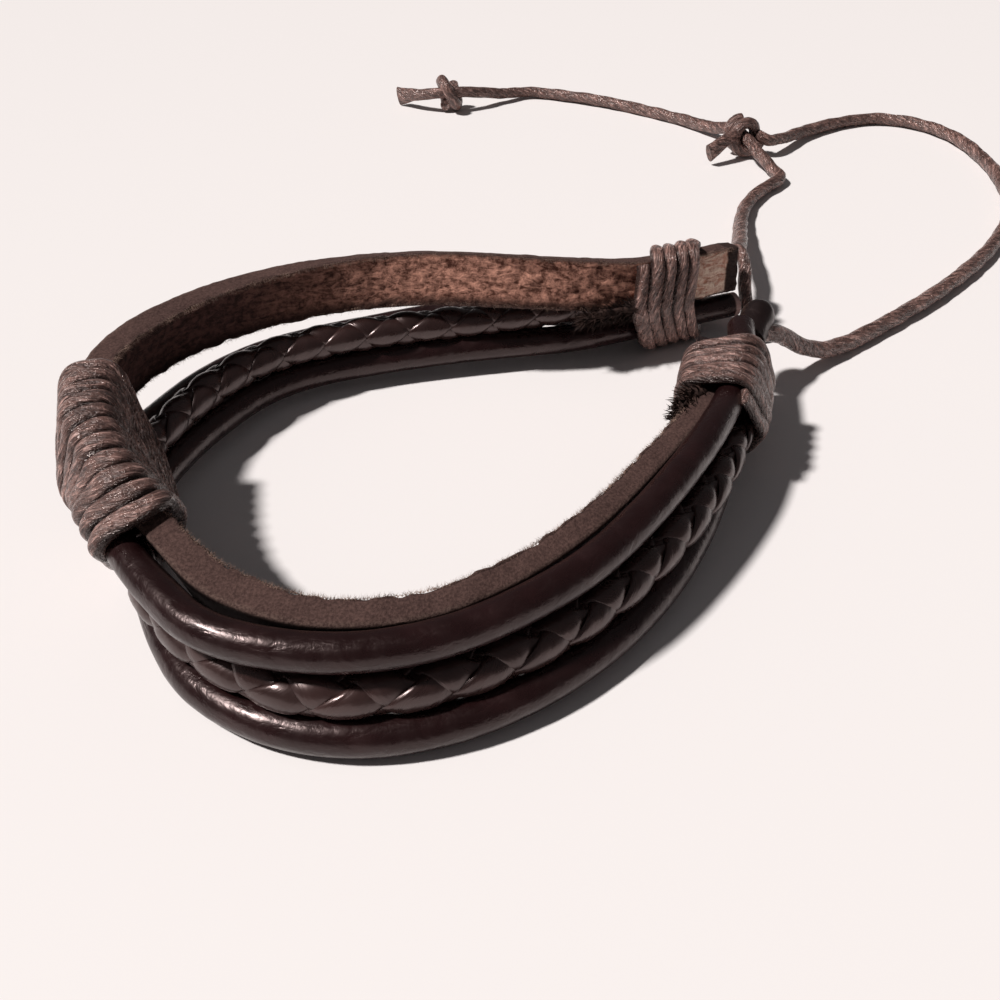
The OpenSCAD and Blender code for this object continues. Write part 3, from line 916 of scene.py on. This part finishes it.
def crossing(line, radius, middle, normal):
    """Where a strand passes through a plane: the point, the strand's way there, and its radius."""
    d = (line - middle) @ normal
    for i in np.flatnonzero(d[:-1] * d[1:] <= 0):
        f = d[i] / (d[i] - d[i + 1])
        p = line[i] + (line[i + 1] - line[i]) * f
        if np.linalg.norm((p - middle)[:2]) < WRAP_REACH:
            return p, unit(line[i + 1] - line[i]), radius[i] + (radius[i + 1] - radius[i]) * f


def taut(plane, angle, extra):
    """The point of a turn at an angle, on its plane, outside the whole bundle, and the way out."""
    heading, tilt = math.radians(plane[2]), math.radians(plane[3])
    level = np.array([-math.sin(heading), math.cos(heading), 0])
    normal = np.array([math.cos(heading) * math.cos(tilt), math.sin(heading) * math.cos(tilt),
                       math.sin(tilt)])
    middle = np.array([plane[0] + SHIFT[0], plane[1] + SHIFT[1], WRAP_MIDDLE_HEIGHT])
    way = math.cos(angle) * level + math.sin(angle) * np.cross(normal, level)
    furthest = None
    for line, radius in bundle:
        p, along, r = crossing(line, radius, middle, normal)
        r += extra
        slant = along @ way / (along @ normal)
        reach = (p - middle) @ way + r * math.sqrt(1 + slant ** 2)
        if furthest is None or reach > furthest[0]:
            out = unit(way - normal * slant)
            furthest = reach, p + r * (out - along * (out @ normal) / (along @ normal)), out
    return furthest[1:]


def planes_between(table, count):
    """That many planes between the first and last of a wrap's table."""
    table = np.array(table, float)
    at = np.linspace(0, len(table) - 1, count)
    i = np.minimum(at.astype(int), len(table) - 2)
    points = with_outer_points(table)
    return catmull_rom(points[i], points[i + 1], points[i + 2], points[i + 3], (at - i)[:, None])


print("lines in the bundle", len(bundle))

# %% [markdown]
# All the waxed cord here is made by one helper. A ring, round or squashed, is swept along a line, with
# three shallow ridges that twist as the plies do. Uneven hills make the cord wander and swell, as
# hand-wound cord does. The bevel of a curve would stay the same all along.

# %% Sweeping waxed cord
CORD_COLS = 18
PLY_HEIGHT = .045


def swept(name, line, out, wide, high, seed, finish, lumps=1.0):
    """Waxed cord along a line: the way up of its section, and half its width and height."""
    at = lengths(line)

    def cord_hills(tall, across, more):
        return patchy(len(at), CORD_COLS, tall, across, seed + more)

    turned = TWIST * at[:, None]
    notes, _ = ring_notes(at, CORD_COLS, turned)
    _, angle = ring_notes(at, CORD_COLS)
    plies = PLY_HEIGHT * np.cos(3 * (angle + turned))
    bumps = 1 + lumps * (plies + .05 * cord_hills(8, 5, 0) + .035 * cord_hills(3, 3, 1))
    wander = lumps * .07 * cord_hills(22, CORD_COLS, 2)
    proud = lumps * .1 * cord_hills(34, CORD_COLS, 3)
    across = wide[:, None] * np.cos(angle) * bumps + wander
    outward = high[:, None] * np.sin(angle) * bumps + proud
    piece = rolled(name, flat_rings(line, out, across, outward), notes)
    piece.data.materials.append(finish)
    return piece


print("waxed cord has", CORD_COLS, "columns")

# %% [markdown]
# A wrap's cord is squashed where its neighbours press on it, so it is as wide as its turns are apart,
# and a little higher where it is narrow. The first and last bit of it dive into the bundle, as a binder
# tucks them. A wrap may also be pushed out of its planes: the middle one is pulled tighter over its
# lower outer side, and the far one moves towards its stub and bows towards the loop's near side. A
# screw modifier could wind the turns too, but it would make them all alike.

# %% Winding a cord round the bundle
TURN_POINTS = 72
START_ANGLE = 2.6
TUCK_DEPTH = .5
TUCK_SHARE = .12
SMOOTHINGS = 9


def wound(name, table, turns, wall, half_wide, seed, push, finish):
    """One cord wound round the bundle, as wide as its turns are apart."""
    count = int(turns * TURN_POINTS) + 1
    step = np.arange(count)
    angles = START_ANGLE + 2 * np.pi * step / TURN_POINTS
    found = [taut(plane, angle, WRAP_GAP + wall / 2)
             for plane, angle in zip(planes_between(table, count), angles)]
    line, out = np.array([p for p, _ in found]), np.array([way for _, way in found])
    neighbour = np.where(step + TURN_POINTS < count, step + TURN_POINTS, step - TURN_POINTS)
    apart = np.linalg.norm(line - line[neighbour], axis=1)
    from_end = np.minimum(step, count - 1 - step)
    tucked = TUCK_DEPTH * (1 - np.minimum(1, from_end / (TURN_POINTS * TUCK_SHARE)))
    line = line + push(line, out, np.linspace(0, 1, count)) - out * tucked[:, None]
    even, at = evenly(np.column_stack([line, out, apart]), .26)
    for _ in range(SMOOTHINGS):
        even[1:-1] = .25 * even[:-2] + .5 * even[1:-1] + .25 * even[2:]
    line, out, apart = even[:, :3], even[:, 3:6], even[:, 6]
    # Half as wide as the turns are apart, within limits, so that no turn is a thread or a ribbon.
    wide = np.clip(apart * .49, half_wide * .32, half_wide * 1.2)
    high = wall / 2 * 1.12 * np.clip(half_wide / wide, .88, 1.02)
    print(name, "has turns", apart.min().round(2), "to", apart.max().round(2), "mm apart, and",
          round(at[-1]), "mm of cord")
    return swept(name, line, out, wide, high, seed, finish)


# A push takes the points of a winding, the way out at each, and how far along the winding it is.
def squeeze(_, out, f):
    """The last turns of the middle wrap are pulled tighter over the outer, lower side."""
    low = np.clip(out @ unit(np.array([-.75, -.5, -.4])), 0, 1) ** 2
    return -out * (.85 * low * np.clip((f - .3) / .3, 0, 1))[:, None]


def belly(line, out, _):
    """The far wrap moves towards its stub, and its turns bow towards the loop's near side."""
    front = np.clip(-out[:, 1], 0, 1) * hump(line[:, 2], 5.5, 3.4)
    return np.array([1.0, 0, 0]) + front[:, None] * np.array([-1.1, -.45, 0])


def straight(line, *_):
    """The near wrap stays in its planes."""
    return 0 * line


middle_winding = wound("middle_winding", MIDDLE, turns=11.42, wall=1.4, half_wide=.82, seed=51,
                       push=squeeze, finish=wound_cord)
far_winding = wound("far_winding", FAR, turns=4.6, wall=1.1, half_wide=.8, seed=61,
                    push=belly, finish=painted_light_wound_cord)
near_winding = wound("near_winding", NEAR, turns=5.4, wall=1.1, half_wide=.78, seed=71,
                     push=straight, finish=wound_cord)
stand_for(middle_winding, "middle_wrap")
stand_for(far_winding, "far_wrap")
stand_for(near_winding, "near_wrap")

# %% [markdown]
# The ties are the free cords of this piece. They leave the stubs, come down on the table and lie there,
# along the outline that the photograph shows. A simulation would let them fall anywhere, so they are
# swept along routes instead. These are the routes of the part's source with two changes at their far
# ends: the long tie's last points are a little higher, so that its flared end lies on the table, and
# the short one runs further into the knot.

# %% Ties
TIE_LONG = [
    (29, 39.5, 8.3), (31.6, 41.4, 7.6), (34.1, 47.1, 5.9), (36.4, 57, 3.6), (38.7, 66.7, 1.7),
    (40.9, 73.3, 1.15), (43.7, 78.1, 1.1), (46.4, 81.2, 1.1), (48, 83.8, 1.1), (47.3, 87.6, 1.3),
    (45.7, 91.6, 2.5), (44.3, 96.6, 3.4), (42.7, 101.8, 2.8), (40, 107, 1.5), (35.2, 113, 1.1),
    (24.2, 121.6, 1.1), (11, 127.6, 1.1), (4.4, 125, 1.7), (-.8, 121.4, 3), (-5.4, 119.6, 3.35),
    (-10, 120.2, 2.9), (-14.8, 123.4, 1.75)]
TIE_SHORT = [
    (31.6, 22.1, 7.4), (34.2, 24.2, 6.2), (37.2, 26.2, 3.8), (40.8, 28.4, 1.9), (45, 31.4, 1.2),
    (51.2, 36.6, 1.1), (58, 42.8, 1.1), (65, 50, 1.1), (72.4, 59.2, 1.1), (78.2, 69, 1.1),
    (81.4, 79, 1.1), (83, 90, 1.1), (82, 101.6, 1.1), (78, 109.2, 1.1), (71.2, 112.2, 1.1),
    (63.8, 110, 1.1), (56.4, 104.4, 1.4), (51.6, 98.9, 2.1), (48.5, 96.2, 2.7), (46.4, 96.6, 3.5)]
TIE_RADIUS = .95
FLARE_LENGTH = 6


def waxed_tube(name, line, radius, seed, flare=0.0):
    """A length of round waxed cord along a line, which may open out to a flat cut end."""
    line, at = evenly(line[:, :3], .3)
    _, up = upright(line)
    far = np.clip((at - at[-1] + FLARE_LENGTH) / FLARE_LENGTH, 0, 1) ** 1.5 * flare
    return swept(name, line, up, radius * (1 - .35 * far), radius * (1 + .75 * far), seed, waxed_cord)


tie_long_line = smooth(TIE_LONG, 6)
tie_short_line = smooth(TIE_SHORT, 6)
tie_long = waxed_tube("long_tie", tie_long_line, TIE_RADIUS, 81, flare=1)
tie_short = waxed_tube("short_tie", tie_short_line, TIE_RADIUS, 91)
print("ties", round(lengths(tie_long_line)[-1]), "and", round(lengths(tie_short_line)[-1]), "mm")

# %% [markdown]
# Each knot is a turn or two of cord about the long tie. The sliding knot is the end of the short tie,
# wound round the long one so that it can be pushed along, and a cut end sticks out of it. The stopper
# keeps it from slipping off. A real knot's path crosses inside itself where nobody sees it, so a coil
# on the tie's own heading is enough.

# %% Knots
KNOT_RADIUS = .98
COIL_RADIUS = 2.1
COIL_RISE = 2


def coil(place, heading, turns, start, slant=0.0):
    """Points of a turn or two about the tie inside a knot; the slant carries its top backwards."""
    f = np.linspace(0, 1, 48)
    heading = math.radians(heading)
    ahead = np.array([math.cos(heading), math.sin(heading), 0])
    side = np.array([-math.sin(heading), math.cos(heading), 0])
    angle = math.radians(start) + 2 * np.pi * turns * f
    forward = COIL_RISE * turns * (f - .5) + slant * np.sin(angle)
    around = np.cos(angle)[:, None] * side + np.sin(angle)[:, None] * np.array([0, 0, 1])
    return np.array(place) + np.array(SHIFT) + ahead * forward[:, None] + COIL_RADIUS * around


CUT_TAIL = [(43, 95.4, 4), (40.3, 93.3, 3.3), (37.9, 91.5, 2.2)]
sliding = waxed_tube("sliding_turns", coil((44.3, 96.6, 3.4), 106, 1.7, 200), KNOT_RADIUS, 101)
stopper = waxed_tube("stopper_turns", coil((-5.4, 119.8, 3.35), 187, 1.4, 150, .8), KNOT_RADIUS, 111)
cut_tail = waxed_tube("sliding_cut_tail", smooth(CUT_TAIL, 8), .9, 105, flare=1)
for piece, node in ((tie_long, "tie_long"), (tie_short, "tie_short"), (sliding, "sliding_knot"),
                    (cut_tail, "sliding_knot"), (stopper, "stopper_knot")):
    stand_for(piece, node)
for piece, line, knots in ((tie_long, tie_long_line, [stopper]),
                           (tie_short, tie_short_line, [sliding, cut_tail])):
    tuple(line[0] * MM)
    [tuple(p * MM) for p in line]
print("knots", sliding.name, stopper.name)

# %% [markdown]
# Where the long tie leaves the far stub, a second bit of its cord comes down beside the stub to the
# table, as the end left over from tying it on would. It is one more short length, swept like the rest,
# and starts inside the tie, so that no joint has to be modelled.

# %% Tuck of the long tie
TUCK = [(32.4, 42.6, 7.4), (33.1, 41.6, 7.8), (33.5, 40, 6.5), (33.5, 38.6, 4.8),
        (33.7, 36.8, 2.9), (34.3, 34.8, 1.3), (35.4, 33.2, .9)]
tuck = waxed_tube("tie_tuck", smooth(TUCK, 6), .8, 141)
stand_for(tuck, "far_wrap")
print("tuck", round(lengths(smooth(TUCK, 6))[-1]), "mm")

# %% [markdown]
# Two ends of the wrapping cord are frayed. Each is a short core that tapers, and a bunch of fibres that
# start inside it and fan out the same way. The fibres are the same thin spikes as on the strap's rims,
# only longer and thicker, because cotton frays in threads and leather in fluff.

# %% Frayed tails
FAR_TAIL = [(21.5, 29.6, 7.1), (18.4, 28.2, 6.9), (15.2, 27, 6.8), (13.2, 26.2, 6.7)]
NEAR_TAIL = [(25, 10.6, 8.6), (22.5, 7.7, 9.1), (21.1, 5.1, 8.9), (20.5, 2.9, 8.2)]
tail_fibre = fibre_finish("tail_fibre", 900, .35, .65, (.014, .007, .006), (.05, .028, .023),
                          specular_ior_level=.2)


def frayed(name, node, route, wide, high, way, spread, long, thick, count, seed):
    """A tapered core of half that width and height, and the fibres that fan out of it."""
    line, at = evenly(smooth(route, 8)[:, :3], .25)
    side, up = upright(line)
    taper = 1 - .6 * (at / at[-1]) ** 2
    body = swept(name, line, up, wide * taper, high * taper, seed, tail_fibre, lumps=3.2)
    draw = np.random.default_rng(seed)
    k = draw.integers(2, len(line), count)
    around = draw.uniform(0, 2 * np.pi, (count, 1))
    push = side[k] * np.cos(around) * wide * .8 + up[k] * np.sin(around) * high * .8
    roots = line[k] + push * taper[k][:, None]
    ways = np.array(way) + spread * draw.normal(size=(count, 3)) + .5 * unit(push)
    size = draw.uniform(.4, 1, count) * long
    fan = spikes(name + "_fibres", roots, ways, size, thick, seed + 1, curl=.35)
    fan.data.materials.append(tail_fibre)
    for piece in (body, fan):
        stand_for(piece, node)
    print(name, round(at[-1]), "mm long with", count, "fibres")


frayed("far_tail", "far_wrap_tail", FAR_TAIL, wide=.65, high=.9, way=(-1, -.25, -.1), spread=.32,
       long=2, thick=.07, count=800, seed=121)
frayed("near_tail", "near_wrap_tail", NEAR_TAIL, wide=1.0, high=.85, way=(-1, -.5, .05), spread=.4,
       long=1.6, thick=.14, count=600, seed=131)

# %% [markdown]
# A plain pale floor, one sun lamp and a dim sky are enough. The sun stands to the left, a little to this
# side of the loop and about 55 degrees high, so shadows fall to the right and slightly away. Its angle
# of five degrees softens their edges, and the even sky fills them. An area lamp would do as well, but
# its light fades with distance, and the floor is lit alike all over. The standard view transform shows
# colours as they are, so the floor stays as pale as it was made.

# %% Floor and light
bpy.ops.object.select_all(action="DESELECT")
bpy.ops.mesh.primitive_plane_add(size=3, location=(0, .5, 0))
floor = bpy.context.object
floor.name = "floor"
bpy.ops.object.transform_apply(location=True)
table = Graph("table")
floor.data.materials.append(table.finish(base_color=(.87, .835, .83), roughness=.6, specular_ior_level=.2))

SUN_WAY = (.7, .13, -1)
sun_data = bpy.data.lights.new("key", "SUN")
sun_data.energy = 3.95
sun_data.angle = math.radians(5)
sun_data.color = (1, .965, .94)
sun = bpy.data.objects.new("key", sun_data)
bpy.context.scene.collection.objects.link(sun)
sun.rotation_euler = Vector(SUN_WAY).to_track_quat("-Z", "Y").to_euler()
world = bpy.data.worlds.new("studio")
bpy.context.scene.world = world
world.use_nodes = True
sky = world.node_tree.nodes["Background"]
sky.inputs["Color"].default_value = (.97, .93, .95, 1)
sky.inputs["Strength"].default_value = .085
bpy.context.scene.view_settings.view_transform = "Standard"
print("sun of", round(sun_data.energy, 2), "and sky of", round(sky.inputs["Strength"].default_value, 3))

# %% [markdown]
# The last cell brings the scene's view layer up to date.

# %% Update the scene
bpy.context.view_layer.update()
